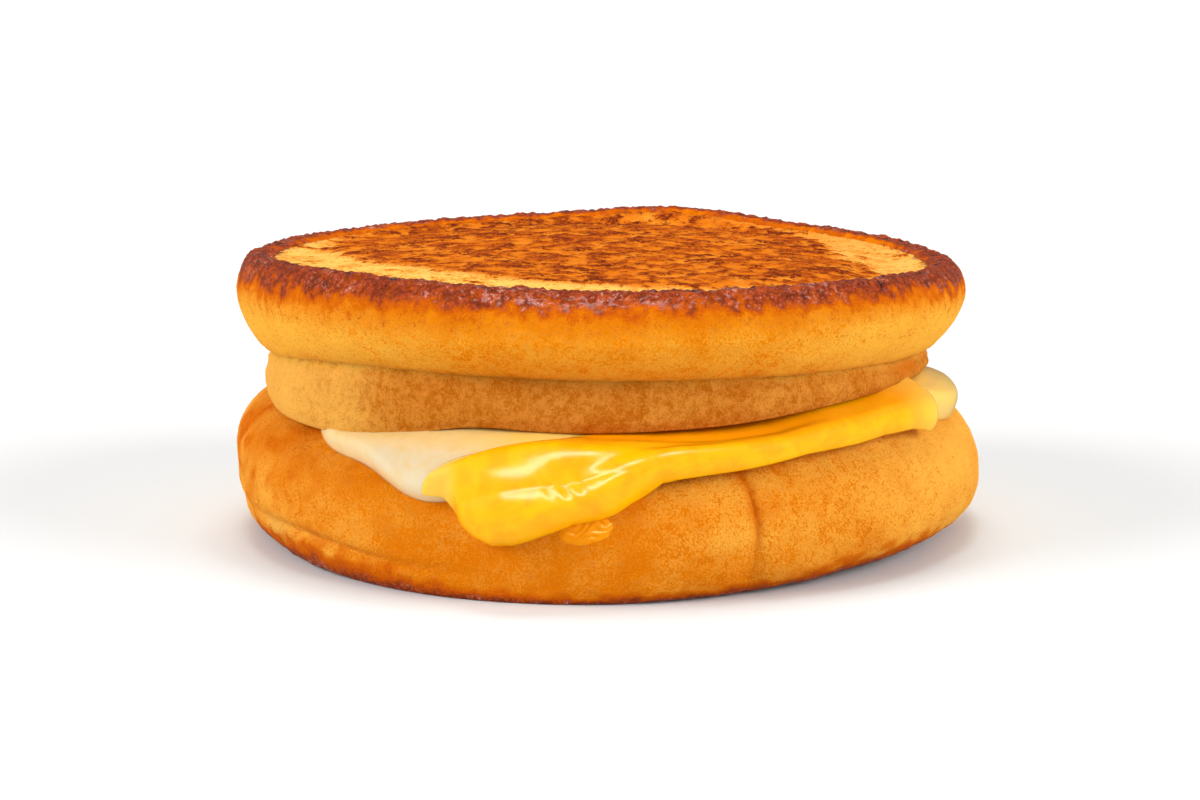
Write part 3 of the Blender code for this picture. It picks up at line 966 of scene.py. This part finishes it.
    def build(self) -> bpy.types.Object:
        """Build and dress the slice.

        Returns:
            The piece that stands for the solid yellow_cheese.
        """
        angles = directions(self.count, self.closer)
        edge = self.edge(angles)
        inner = np.array([0.45, 0.85])[:, None] * self.inner_reach
        start = np.minimum(self.inner_reach + 1.0, edge - 0.6)
        shares = 1.0 - (1.0 - np.linspace(0.0, 1.0, 74)) ** 1.7
        outer = start + shares[:, None] * (edge - start)
        reach = np.concatenate([np.broadcast_to(inner, (2, len(angles))), outer])
        turns = self.swung(angles[None, :], reach)
        distance = self.edge_distance(reach, turns)
        past_white = ramp(reach - self.white.edge(turns), -0.3, 2.2) * ramp(reach, 49.0, 52.0)
        on_white = self.white.top(turns, reach) + 0.05
        low = blend(on_white - 0.25, self.layer, past_white)
        by_left = 1.0 - ramp(angles, self.left_edge + 0.4, self.left_edge + 4.0)
        thin_left = by_left * (1.0 - ramp(reach, 50.5, 52.0))
        strip = 1.0 - ramp(turns, -113.6, -110.0)
        by_neck = np.interp(turns, *zip(*self.neck_thickness))
        thickness = blend(by_neck, self.lip_thickness, ramp(reach, 45.0, 48.5))
        thickness = thickness * (1.0 - 0.55 * thin_left) * (1.0 - 0.72 * strip * ramp(reach, 50.5, 52.0))
        high = on_white + thickness - 0.9 * ramp(reach, 50.5, 56.0)
        high = high + self.folds(turns, reach) * (1.0 - thin_left) * (1.0 - strip)
        by_lip = ramp(turns, -94.0, -88.0) * (1.0 - ramp(turns, -64.0, -52.0))
        rounding = blend(blend(2.3, 3.2, by_lip), 3.4, thin_left)
        fullness = np.sqrt(1.0 - (1.0 - np.clip(distance / rounding, 0.0, 1.0)) ** 2)
        points, on_top = self.skin(reach, turns, low, high, fullness)
        ripple = layered(points, self.ripple)
        points = points + outward(points) * (ripple * on_top[:, None])[..., None]
        near_neck = thin_left * (1.0 - ramp(distance, 0.2, 4.4))
        strip_mark = 0.60 * strip * ramp(reach, 49.5, 51.5)
        thin = np.clip(0.75 * near_neck + strip_mark + 0.85 * ramp(turns, -38.0, -26.0), 0.0, 1.0)
        # Deeper orange towards the neck, less so towards the right.
        warm = (1.0 - ramp(reach, 44.0, 48.5)) * (1.0 - 0.7 * ramp(turns, -64.0, -44.0))
        marks = {"thin": self.both_sides(thin, thin), "warm": self.both_sides(warm, warm)}
        piece = MeshMaker.closed_skin("yellow_slice", points, marks)
        CheeseFinish(
            "yellow_melted_cheese",
            body=(0.98, 0.47, 0.001),
            deep=(0.98, 0.39, 0.001),
            thin=(0.93, 0.56, 0.09),
            warm=(0.96, 0.31, 0.001),
            roughness=0.24, scatter=(1.0, 0.5, 0.1),
        ).dress(piece)
        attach(piece, "root")
        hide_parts("yellow_cheese")
        return piece


@dataclass
class GlazeFilm:
    """Thin golden film of melted fat that ran out below the drip, wrinkled where it set."""

    shape: LowerShape
    middle: tuple[float, float] = (-93.0, 56.4)
    half_width: float = 5.0
    half_length: float = 2.2
    rows: int = 40
    columns: int = 90
    thickness: float = 0.10
    buried: float = -0.5
    slant: float = 1.6
    lean: float = 1.5
    wrinkle_height: float = 0.07
    wrinkle_turns: float = 8.0

    def build(self) -> bpy.types.Object:
        """Build and dress the film.

        Returns:
            The piece, which lies on the lower half's side.
        """
        across, down = np.meshgrid(np.linspace(-1.0, 1.0, self.columns), np.linspace(-1.0, 1.0, self.rows))
        angles = self.middle[0] + self.half_width * across + self.lean * down
        reach = self.middle[1] + self.half_length * down - self.slant * across
        inside = ramp(1.0 - np.hypot(across, down), 0.0, 0.45)
        place = np.stack([reach, angles, np.zeros_like(reach)], axis=-1)
        wave = 0.75 * reach + 0.42 * angles + 1.6 * grain(place, 2.4, 15.0)
        wrinkles = self.wrinkle_height * np.sin(self.wrinkle_turns * wave) * inside
        lift = blend(-0.3, self.thickness + wrinkles, inside)
        radius, height = self.shape.shoulder(reach, angles, lift)
        top = to_points(self.shape.centre, radius - self.shape.relief(angles, height), angles, height)
        radius, height = self.shape.shoulder(reach, angles, np.full_like(reach, self.buried))
        under = to_points(self.shape.centre, radius - 0.3, angles, height)
        vertices = np.concatenate([top.reshape(-1, 3), under.reshape(-1, 3)])
        piece = MeshMaker.make("glaze_film", vertices, self.faces(), {})
        recipe = Recipe("clear_glaze")
        recipe.dress(
            piece,
            {
                "Base Color": recipe.mix((0.86, 0.24, 0.001), (0.93, 0.34, 0.004), recipe.mottle(1.2, 2.0)),
                "Roughness": 0.12,
                "Specular IOR Level": 0.8,
                "Specular Tint": (1.0, 0.72, 0.28),
            },
        )
        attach(piece, "root")
        return piece

    def faces(self) -> list:
        """Corner numbers of the film's top, its underside and its sides."""
        numbers = np.arange(self.rows * self.columns).reshape(self.rows, self.columns)
        low = numbers + numbers.size
        corners = [numbers[:-1, :-1], numbers[1:, :-1], numbers[1:, 1:], numbers[:-1, 1:]]
        top = np.stack(corners, axis=-1).reshape(-1, 4)
        rim = np.concatenate([numbers[0, :-1], numbers[:-1, -1], numbers[-1, :0:-1], numbers[:0:-1, 0]])
        after = np.roll(rim, -1)
        side = np.stack([rim, after, after + low[0, 0], rim + low[0, 0]], axis=-1)
        return top.tolist() + (top[:, ::-1] + numbers.size).tolist() + side.tolist()


@dataclass(frozen=True)
class UpperShape:
    """Outline of the upper half of the bun, with tables at even steps round the sandwich."""

    centre: tuple[float, float] = (-0.9, 0.3)
    neck_radius: Table = (46.2, 46.6, 46.6, 46.8, 47.3, 47.0, 46.4, 46.2)
    neck_foot: Table = (24.2, 24.0, 23.6, 22.4, 19.8, 19.2, 22.1, 23.8)
    foot_bumps: Rows = ((-112.0, 13.0, 1.75), (-69.0, 16.0, -0.5))
    crease_height: Table = (25.6, 26.4, 27.0, 26.0, 24.8, 28.0, 28.1, 27.2)
    crease_radius: Table = (45.3, 45.6, 45.4, 45.8, 46.3, 45.6, 45.2, 45.2)
    side_radius: Table = (51.3, 51.2, 51.0, 51.0, 50.9, 51.3, 51.3, 51.3)
    side_height: Table = (34.2, 33.8, 33.6, 33.8, 34.2, 34.4, 34.0, 34.0)
    rim_height: Table = (37.8, 37.7, 38.1, 38.0, 39.0, 40.9, 40.5, 39.9)
    rim_radius: float = 47.4
    hump: tuple[float, float, float] = (76.0, 17.0, 1.2)
    underside_power: float = 1.46
    middle_height: float = 39.5
    moat_radius: float = 41.5
    moat_drop: float = 0.9

    def foot(self, angles: Array) -> Array:
        """Height of the neck's lower edge, which the cheese holds up at the front left."""
        bumps = sum(size * bump_round(angles, at, width) for at, width, size in self.foot_bumps)
        return around(angles, self.neck_foot) + bumps

    def rim(self, angles: Array) -> Array:
        """Height of the rim, with its hump at the back."""
        at, width, size = self.hump
        return around(angles, self.rim_height) + size * bump_round(angles, at, width)

    def face_height(self, radius: Array, angles: Array) -> Array:
        """Height of the cut face inside the rim.

        Args:
            radius: Distance from the middle.
            angles: Directions.

        Returns:
            Height of the face without its fine relief.
        """
        moat = around(angles, self.rim_height) - self.moat_drop
        share = radius / self.moat_radius
        inside = blend(self.middle_height, moat + 0.35, np.clip(share, 0.0, 1.0) ** 2)
        by_moat = blend(inside, moat, ramp(radius, 36.0, self.moat_radius))
        return blend(by_moat, self.rim(angles) - 0.45, ramp(radius, self.moat_radius, 46.6))


@dataclass
class UpperBun:
    """Upper half of the bun, turned over: neck, crease, wide side and dark toasted rim."""

    shape: UpperShape
    count: int = 860
    foot_press: float = 0.55
    foot_rings: Rows = ((20.0, 4.0), (5.0, 2.5), (2.4, 0.9), (1.2, 0.25), (0.6, 0.05))
    crest_rings: Rows = (
        (0.7, -0.02), (0.35, 0.0), (0.0, 0.02), (-0.35, 0.06), (-0.7, 0.12), (-1.05, 0.24), (-1.35, 0.42),
    )
    neck_steps: int = 22
    underside_steps: int = 24
    side_steps: int = 30
    toasted_reach: Table = (4.6, 3.0, 2.4, 2.8, 4.8, 5.2, 4.1, 4.2)
    roughness: Rows = ((0.14, 3.0, 12.0), (0.07, 1.4, 4.0), (0.04, 0.8, 6.0))
    rim_lumps: Rows = ((0.16, 2.2, 17.0), (0.14, 1.1, 23.0))
    crag_depth: float = 0.50
    toast_border: Rows = ((0.9, 2.6, 41.0), (0.8, 1.0, 43.0))

    def rings(self, angles: Array) -> tuple[Array, Array, Array]:
        """Rings from the hidden foot, over neck and side, to the recess under the cut face.

        Args:
            angles: Directions of the points of each ring.

        Returns:
            Radius, height and the distance below the rim's crest along the side, by ring and direction.
        """
        shape = self.shape
        neck = around(angles, shape.neck_radius)
        foot = shape.foot(angles) - self.foot_press
        crease = around(angles, shape.crease_height)
        crease_radius = around(angles, shape.crease_radius)
        side = around(angles, shape.side_radius)
        side_height = around(angles, shape.side_height)
        rim = shape.rim(angles)
        rings = [(neck - inset, foot + rise) for inset, rise in self.foot_rings]
        for share in np.linspace(0.02, 0.9, self.neck_steps):
            inset = 0.45 * (1.0 - ramp(share, 0.0, 0.25)) + 0.45 * ramp(share, 0.45, 0.9)
            rings.append((neck - inset + waviness(angles, foot), foot + (crease - foot) * share))
        for turn in np.radians(np.linspace(3.0, 84.0, self.underside_steps)):
            fall = np.cos(turn) ** (2.0 / shape.underside_power)
            spread = np.sin(turn) ** (2.0 / shape.underside_power)
            height = blend(side_height, crease + 0.3, fall)
            radius = blend(crease_radius, side, spread)
            rings.append((radius + waviness(angles, height) * spread, height))
        for turn in np.radians(np.linspace(0.0, 84.0, self.side_steps)):
            height = blend(side_height, rim, np.sin(turn))
            radius = blend(shape.rim_radius + 1.0, side, np.cos(turn))
            rings.append((radius + waviness(angles, height) * np.cos(turn), height))
        crest = len(rings) + 2
        for further, drop in self.crest_rings:
            rings.append((np.full_like(angles, shape.rim_radius + further), rim - drop))
        for inset, drop in ((1.6, 0.75), (1.9, 1.8), (2.8, 2.6)):
            rings.append((np.full_like(angles, shape.rim_radius - inset), rim - drop))
        floor = around(angles, shape.rim_height) - 3.2
        for share in (0.8, 0.4, 0.1):
            rings.append((np.full_like(angles, shape.moat_radius * share), blend(37.4, floor, share)))
        radius = np.array([ring[0] for ring in rings])
        height = np.array([ring[1] for ring in rings])
        steps = np.hypot(np.diff(radius, axis=0), np.diff(height, axis=0))
        travelled = np.concatenate([[np.zeros_like(angles)], np.cumsum(steps, axis=0)])
        return radius, height, travelled[crest] - travelled

    def build(self) -> bpy.types.Object:
        """Build and dress the upper half without its cut face.

        Returns:
            The piece that stands for the solid top_bun.
        """
        angles = directions(self.count, ((-90.0, 70.0, 0.5),))
        radius, height, below = self.rings(angles)
        points = to_points(self.shape.centre, radius, angles, height)
        crease = around(angles, self.shape.crease_height)
        tan = 1.0 - ramp(height - crease, -0.6, 1.2)
        shown = ramp(below, -2.4, -1.6) * ramp(height - self.shape.foot(angles), -0.6, 0.3)
        crust = ramp(-below, -5.0, -1.5) * shown
        rough = layered(points, self.roughness)
        pores = ramp(0.3 - craters(points, 1.9, 2.0), 0.0, 0.3)
        rough = rough + tan * (0.10 * grain(points, 1.6, 21.0) - 0.10 * pores)
        crags = 0.35 - craters(points, 0.95, 27.0)
        rough = rough + crust * (layered(points, self.rim_lumps) + self.crag_depth * crags)
        points = points + outward(points) * (rough * shown)[..., None]
        reach = around(angles, self.toasted_reach)
        streaked = points * np.array([1.0, 1.0, 0.3])
        ragged = layered(points, self.toast_border) + 0.5 * grain(streaked, 1.3, 47.0)
        depth = (below + ragged * ramp(below, 0.0, 2.0)) / reach
        toast = 1.12 - 0.32 * np.clip(depth, 0.0, 1.0)
        toast = toast - 0.64 * ramp(depth, 0.72, 1.40) - 0.16 * ramp(depth, 1.3, 2.2)
        behind = ramp(np.sin(np.radians(angles)), 0.1, 0.5)
        inner_toast = 1.05 - (0.30 + 0.25 * behind) * ramp(-below, 0.2, 1.2)
        toast = np.where(below < 0.0, inner_toast, toast)
        toast = toast + 0.34 * grain(points, 1.8, 49.0) * ramp(toast, 0.1, 0.5)
        toast = toast - 0.15 * behind * (below < 1.0)
        toast = np.clip(toast, 0.0, 1.4)
        scorched = bump_round(angles, -25.0, 7.0) * bump(height - crease, -0.8, 1.2)
        toast = np.maximum(toast, 0.20 * scorched)
        # The mark pale is painted light here: lighter towards the left and right ends and on the right, lower
        # down the side as light bounced up from the table, and on the neck's left.
        ends = ramp(np.abs(np.cos(np.radians(angles))), 0.30, 1.0)
        right = ramp(np.cos(np.radians(angles)), 0.2, 0.9)
        left = ramp(-np.cos(np.radians(angles)), 0.45, 0.95)
        low_side_light = ramp(below, 2.5, 9.0)
        painted_side_light = (0.85 * ends + 0.10 * right + 0.16) * low_side_light + 0.2 * ramp(below, 7.0, 12.0)
        painted_neck_light = 1.25 * left + 0.25 * right
        marks = {"toast": toast, "tan": tan, "pale": blend(painted_side_light, painted_neck_light, tan)}
        piece = MeshMaker.closed_skin("upper_bun", points, marks)
        BreadFinish("upper_bread").dress(piece)
        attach(piece, "root")
        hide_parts("top_bun")
        return piece


class Facing(Enum):
    """Which way a cut face of the bun looks."""

    UP = 1.0
    DOWN = -1.0


@dataclass
class CutFace:
    """Toasted cut face of the bun: pale crumb, browned on its plateaus where it lay on the griddle."""

    name: str
    facing: Facing
    lower: LowerShape
    upper: UpperShape
    steps: int
    seed: float
    browned_reach: Table = (
        34.5, 36.5, 43.5, 48.0, 49.0, 48.5, 47.5, 43.5,
        37.0, 35.0, 33.5, 34.5, 37.5, 41.5, 43.5, 41.5,
    )
    depth: float = 2.3
    browning: Rows = ((0.50, 7.5, 0.0), (0.95, 2.7, 3.0), (0.70, 1.35, 7.0), (0.35, 0.7, 11.0))
    fine_relief: Rows = ((0.05, 1.3, 33.0), (0.04, 0.65, 37.0))

    def outline(self, angles: Array) -> Array:
        """Radius of the face in each direction."""
        if self.facing is Facing.UP:
            return np.full_like(angles, self.upper.rim_radius - 1.25)
        return around(angles, self.lower.foot_radius) - 0.75

    def field(self, points: Array) -> Array:
        """Unevenness of the browning, positive where the crumb stood proud and browned."""
        return layered(points, self.browning, self.seed)

    def grid(self) -> tuple[Array, Array, Array]:
        """Even grid of a disc.

        Returns:
            Share of the radius and direction of each point by row and column, and the border's point numbers.
        """
        line = np.linspace(-1.0, 1.0, self.steps + 1)
        across, down = np.meshgrid(line, line)
        wide = np.abs(across) > np.abs(down)
        safe_across = np.where(np.abs(across) < 1e-9, 1e-9, across)
        safe_down = np.where(np.abs(down) < 1e-9, 1e-9, down)
        share = np.where(wide, across, down)
        turn = np.where(wide, 45.0 * down / safe_across, 90.0 - 45.0 * across / safe_down)
        numbers = np.arange((self.steps + 1) ** 2).reshape(across.shape)
        border = np.concatenate([numbers[0, :-1], numbers[:-1, -1], numbers[-1, :0:-1], numbers[:0:-1, 0]])
        angles = np.where(share < 0.0, turn + 180.0, turn)
        return np.abs(share), angles, border

    def build(self) -> bpy.types.Object:
        """Build and dress the face.

        Returns:
            The piece, which lies in the bun's recess.
        """
        share, angles, border = self.grid()
        outline = self.outline(angles)
        radius = share * outline
        centre = self.upper.centre if self.facing is Facing.UP else self.lower.centre
        flat = to_points(centre, radius, angles, np.zeros_like(radius))
        field = self.field(flat)
        inside = around(angles, self.browned_reach) + 1.6 * grain(flat, 5.0, self.seed + 19.0)
        moat = ramp(radius - inside, -3.0, 1.5) * (1.0 - 0.7 * bump_round(angles, 75.0, 60.0))
        brown = ramp(field * 1.5 + 0.20 - 1.25 * ramp(radius - inside, -2.4, 1.6), -0.75, 0.85)
        from_edge = outline - radius
        flecks = ramp(grain(flat, 1.2, self.seed + 29.0), -0.3, 0.5)
        char = np.exp(-from_edge / 0.55) + 0.55 * np.exp(-from_edge / 2.0) * flecks
        char = char * (1.0 - 0.45 * ramp(np.sin(np.radians(angles)), 0.1, 0.6))
        fine = layered(flat, self.fine_relief, self.seed)
        rise = 0.26 * (brown - 0.5) + 0.10 * grain(flat, 4.5, self.seed + 39.0) + fine
        rise = rise + 0.22 * np.exp(-from_edge / 0.8) * grain(flat, 0.9, self.seed + 41.0)
        if self.facing is Facing.UP:
            height = self.upper.face_height(radius, angles) + rise - 0.15
        else:
            height = np.maximum(0.16 - 0.5 * rise - 0.1 * (1.0 - share), 0.0)
        flat[..., 2] = height
        top = flat.reshape(-1, 3)
        skirt = top[border].copy()
        skirt[:, 2] -= self.facing.value * self.depth
        centre_point = top.mean(axis=0)
        centre_point[2] -= self.facing.value * self.depth
        vertices = np.concatenate([top, skirt, centre_point[None, :]])
        faces = self.faces(border, len(top))
        if self.facing is Facing.DOWN:
            faces = [face[::-1] for face in faces]
        tail = np.zeros(len(border) + 1)
        marks = {
            "brown": np.concatenate([brown.ravel(), tail]),
            "char": np.concatenate([char.ravel(), tail + 1.0]),
            "moat": np.concatenate([moat.ravel(), tail]),
        }
        piece = MeshMaker.make(self.name, vertices, faces, marks)
        CrumbFinish(self.name + "_crumb").dress(piece)
        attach(piece, "root")
        if self.facing is Facing.UP:
            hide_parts("top_bun")
        else:
            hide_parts("bottom_bun")
        return piece

    def faces(self, border: Array, total: int) -> list:
        """Corner numbers of the grid, its skirt and its hidden back.

        Args:
            border: Point numbers along the border.
            total: Number of points in the grid.

        Returns:
            Corner numbers of each face.
        """
        numbers = np.arange((self.steps + 1) ** 2).reshape(self.steps + 1, self.steps + 1)
        quads = np.stack([numbers[:-1, :-1], numbers[:-1, 1:], numbers[1:, 1:], numbers[1:, :-1]], axis=-1)
        count = len(border)
        place = np.arange(count)
        beside = (place + 1) % count
        skirt = np.stack([border[beside], border[place], total + place, total + beside], axis=-1)
        back = np.stack([np.full(count, total + count), total + beside, total + place], axis=-1)
        return quads.reshape(-1, 4).tolist() + skirt.tolist() + back.tolist()


@dataclass(frozen=True)
class Lamp:
    """One soft round light, far away.

    Azimuth is the direction that it comes from, in degrees: 0 is the front and 90 the right. Height is its
    angle above the table, spread is how wide it looks from there, and strength is the light on a surface that
    faces it.
    """

    name: str
    azimuth: float
    height: float
    spread: float
    strength: float
    lights: bool
    mirrored: bool

    def build(self) -> None:
        """Make the light."""
        light = bpy.data.lights.new(self.name, "SUN")
        light.angle = math.radians(self.spread)
        light.energy = self.strength * math.pi
        lamp = bpy.data.objects.new(self.name, light)
        bpy.context.scene.collection.objects.link(lamp)
        lamp.rotation_euler = (math.radians(90.0 - self.height), 0.0, math.radians(self.azimuth))
        lamp.visible_diffuse = self.lights
        lamp.visible_glossy = self.mirrored


@dataclass
class Studio:
    """Plain pale floor, soft light and the camera."""

    lens: float = 100.0
    distance: float = 0.474
    elevation: float = 10.6
    target: tuple[float, float, float] = (-0.001, 0.0, 0.0175)
    backdrop_strength: float = 1.0
    fill_strength: float = 0.50
    mirrored_front: float = 0.10
    mirrored_back: float = 0.16
    lamps: tuple[Lamp, ...] = (
        Lamp("overhead", 180.0, 80.0, 26.0, 0.40, True, False),
        Lamp("left", -70.0, 26.0, 40.0, 0.82, True, False),
        Lamp("right", 68.0, 24.0, 40.0, 0.78, True, False),
        Lamp("softbox_left", -32.0, 53.0, 18.0, 0.20, False, True),
        Lamp("softbox_middle", -4.0, 55.0, 18.0, 0.20, False, True),
        Lamp("softbox_right", 26.0, 56.0, 18.0, 0.20, False, True),
    )

    def build(self) -> None:
        """Make floor, lights, world and camera."""
        scene = bpy.context.scene
        scene.view_settings.view_transform = "Standard"
        self.floor()
        self.world()
        for lamp in self.lamps:
            lamp.build()
        self.camera()

    def floor(self) -> None:
        """White table that fills the view, tinted cooler near the sandwich against the bread's warm bounced
        light.
        """
        mesh = bpy.data.meshes.new("table_top")
        corners = [(-4.0, -4.0, 0.0), (4.0, -4.0, 0.0), (4.0, 4.0, 0.0), (-4.0, 4.0, 0.0)]
        mesh.from_pydata(corners, [], [(0, 1, 2, 3)])
        table = bpy.data.objects.new("table_top", mesh)
        bpy.context.scene.collection.objects.link(table)
        recipe = Recipe("white_table")
        away = recipe.node("ShaderNodeVectorMath", {"operation": "LENGTH"}, {0: recipe.place}, "Value")
        # Painted against light: near the sandwich the table is tinted cooler, to cancel the warm light that the
        # bread bounces onto it.
        painted_cool_near, far = (0.71, 0.75, 0.765), (0.72, 0.72, 0.72)
        recipe.dress(
            table,
            {
                "Base Color": recipe.mix(painted_cool_near, far, away.step(56.0, 105.0)),
                "Roughness": 0.9,
                "Specular IOR Level": 0.1,
            },
        )
        table.visible_glossy = False

    def world(self) -> None:
        """Soft even light from all round, brighter towards the back in reflections, and plain white to the
        camera.
        """
        world = bpy.data.worlds.new("studio")
        bpy.context.scene.world = world
        world.use_nodes = True
        sheet = NodeSheet(world.node_tree)
        direction = sheet.node("ShaderNodeTexCoord", {}, {}, "Generated")
        to_back = sheet.node("ShaderNodeSeparateXYZ", {}, {0: direction}, "Y")
        gloss = {
            "Value": to_back,
            "From Min": -0.1,
            "From Max": 0.9,
            "To Min": self.mirrored_front,
            "To Max": self.mirrored_back,
        }
        mirrored = sheet.node("ShaderNodeMapRange", {}, gloss)
        glossy_ray = sheet.node("ShaderNodeLightPath", {}, {}, "Is Glossy Ray")
        camera_ray = sheet.node("ShaderNodeLightPath", {}, {}, "Is Camera Ray")
        by_gloss = {"Factor": glossy_ray, "A": self.fill_strength, "B": mirrored}
        lit = sheet.node("ShaderNodeMix", {}, by_gloss, "Result")
        by_camera = {"Factor": camera_ray, "A": lit, "B": self.backdrop_strength}
        strength = sheet.node("ShaderNodeMix", {}, by_camera, "Result")
        background = sheet.node("ShaderNodeBackground", {}, {"Color": (1.0, 1.0, 1.0), "Strength": strength})
        output = sheet.tree.nodes.new("ShaderNodeOutputWorld")
        sheet.put(output.inputs["Surface"], background)

    def camera(self) -> None:
        """Camera at the photograph's height and distance."""
        data = bpy.data.cameras.new("camera")
        data.lens = self.lens
        data.sensor_width = 36.0
        data.clip_start = 0.01
        camera = bpy.data.objects.new("camera", data)
        bpy.context.scene.collection.objects.link(camera)
        tilt = math.radians(self.elevation)
        x, y, z = self.target
        camera.location = (x, y - self.distance * math.cos(tilt), z + self.distance * math.sin(tilt))
        camera.rotation_euler = (math.pi / 2.0 - tilt, 0.0, 0.0)
        bpy.context.scene.camera = camera


def main() -> None:
    """Build the sandwich and its studio in order, and report each piece."""
    logging.basicConfig(level=logging.INFO, format="%(message)s")
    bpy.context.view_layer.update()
    lower = LowerShape()
    upper = UpperShape()
    white = WhiteSlice(lower)
    builders = (
        LowerBun(lower),
        CutFace("lower_cut_face", Facing.DOWN, lower, upper, 150, 71.0, depth=0.3),
        white,
        YellowSlice(lower, white=white),
        GlazeFilm(lower),
        UpperBun(upper),
        CutFace("upper_cut_face", Facing.UP, lower, upper, 270, 50.0),
    )
    for builder in builders:
        piece = builder.build()
        triangles = sum(len(face.vertices) - 2 for face in piece.data.polygons)
        report.info("%s: %d triangles", piece.name, triangles)
    Studio().build()


if __name__ == "__main__":
    main()
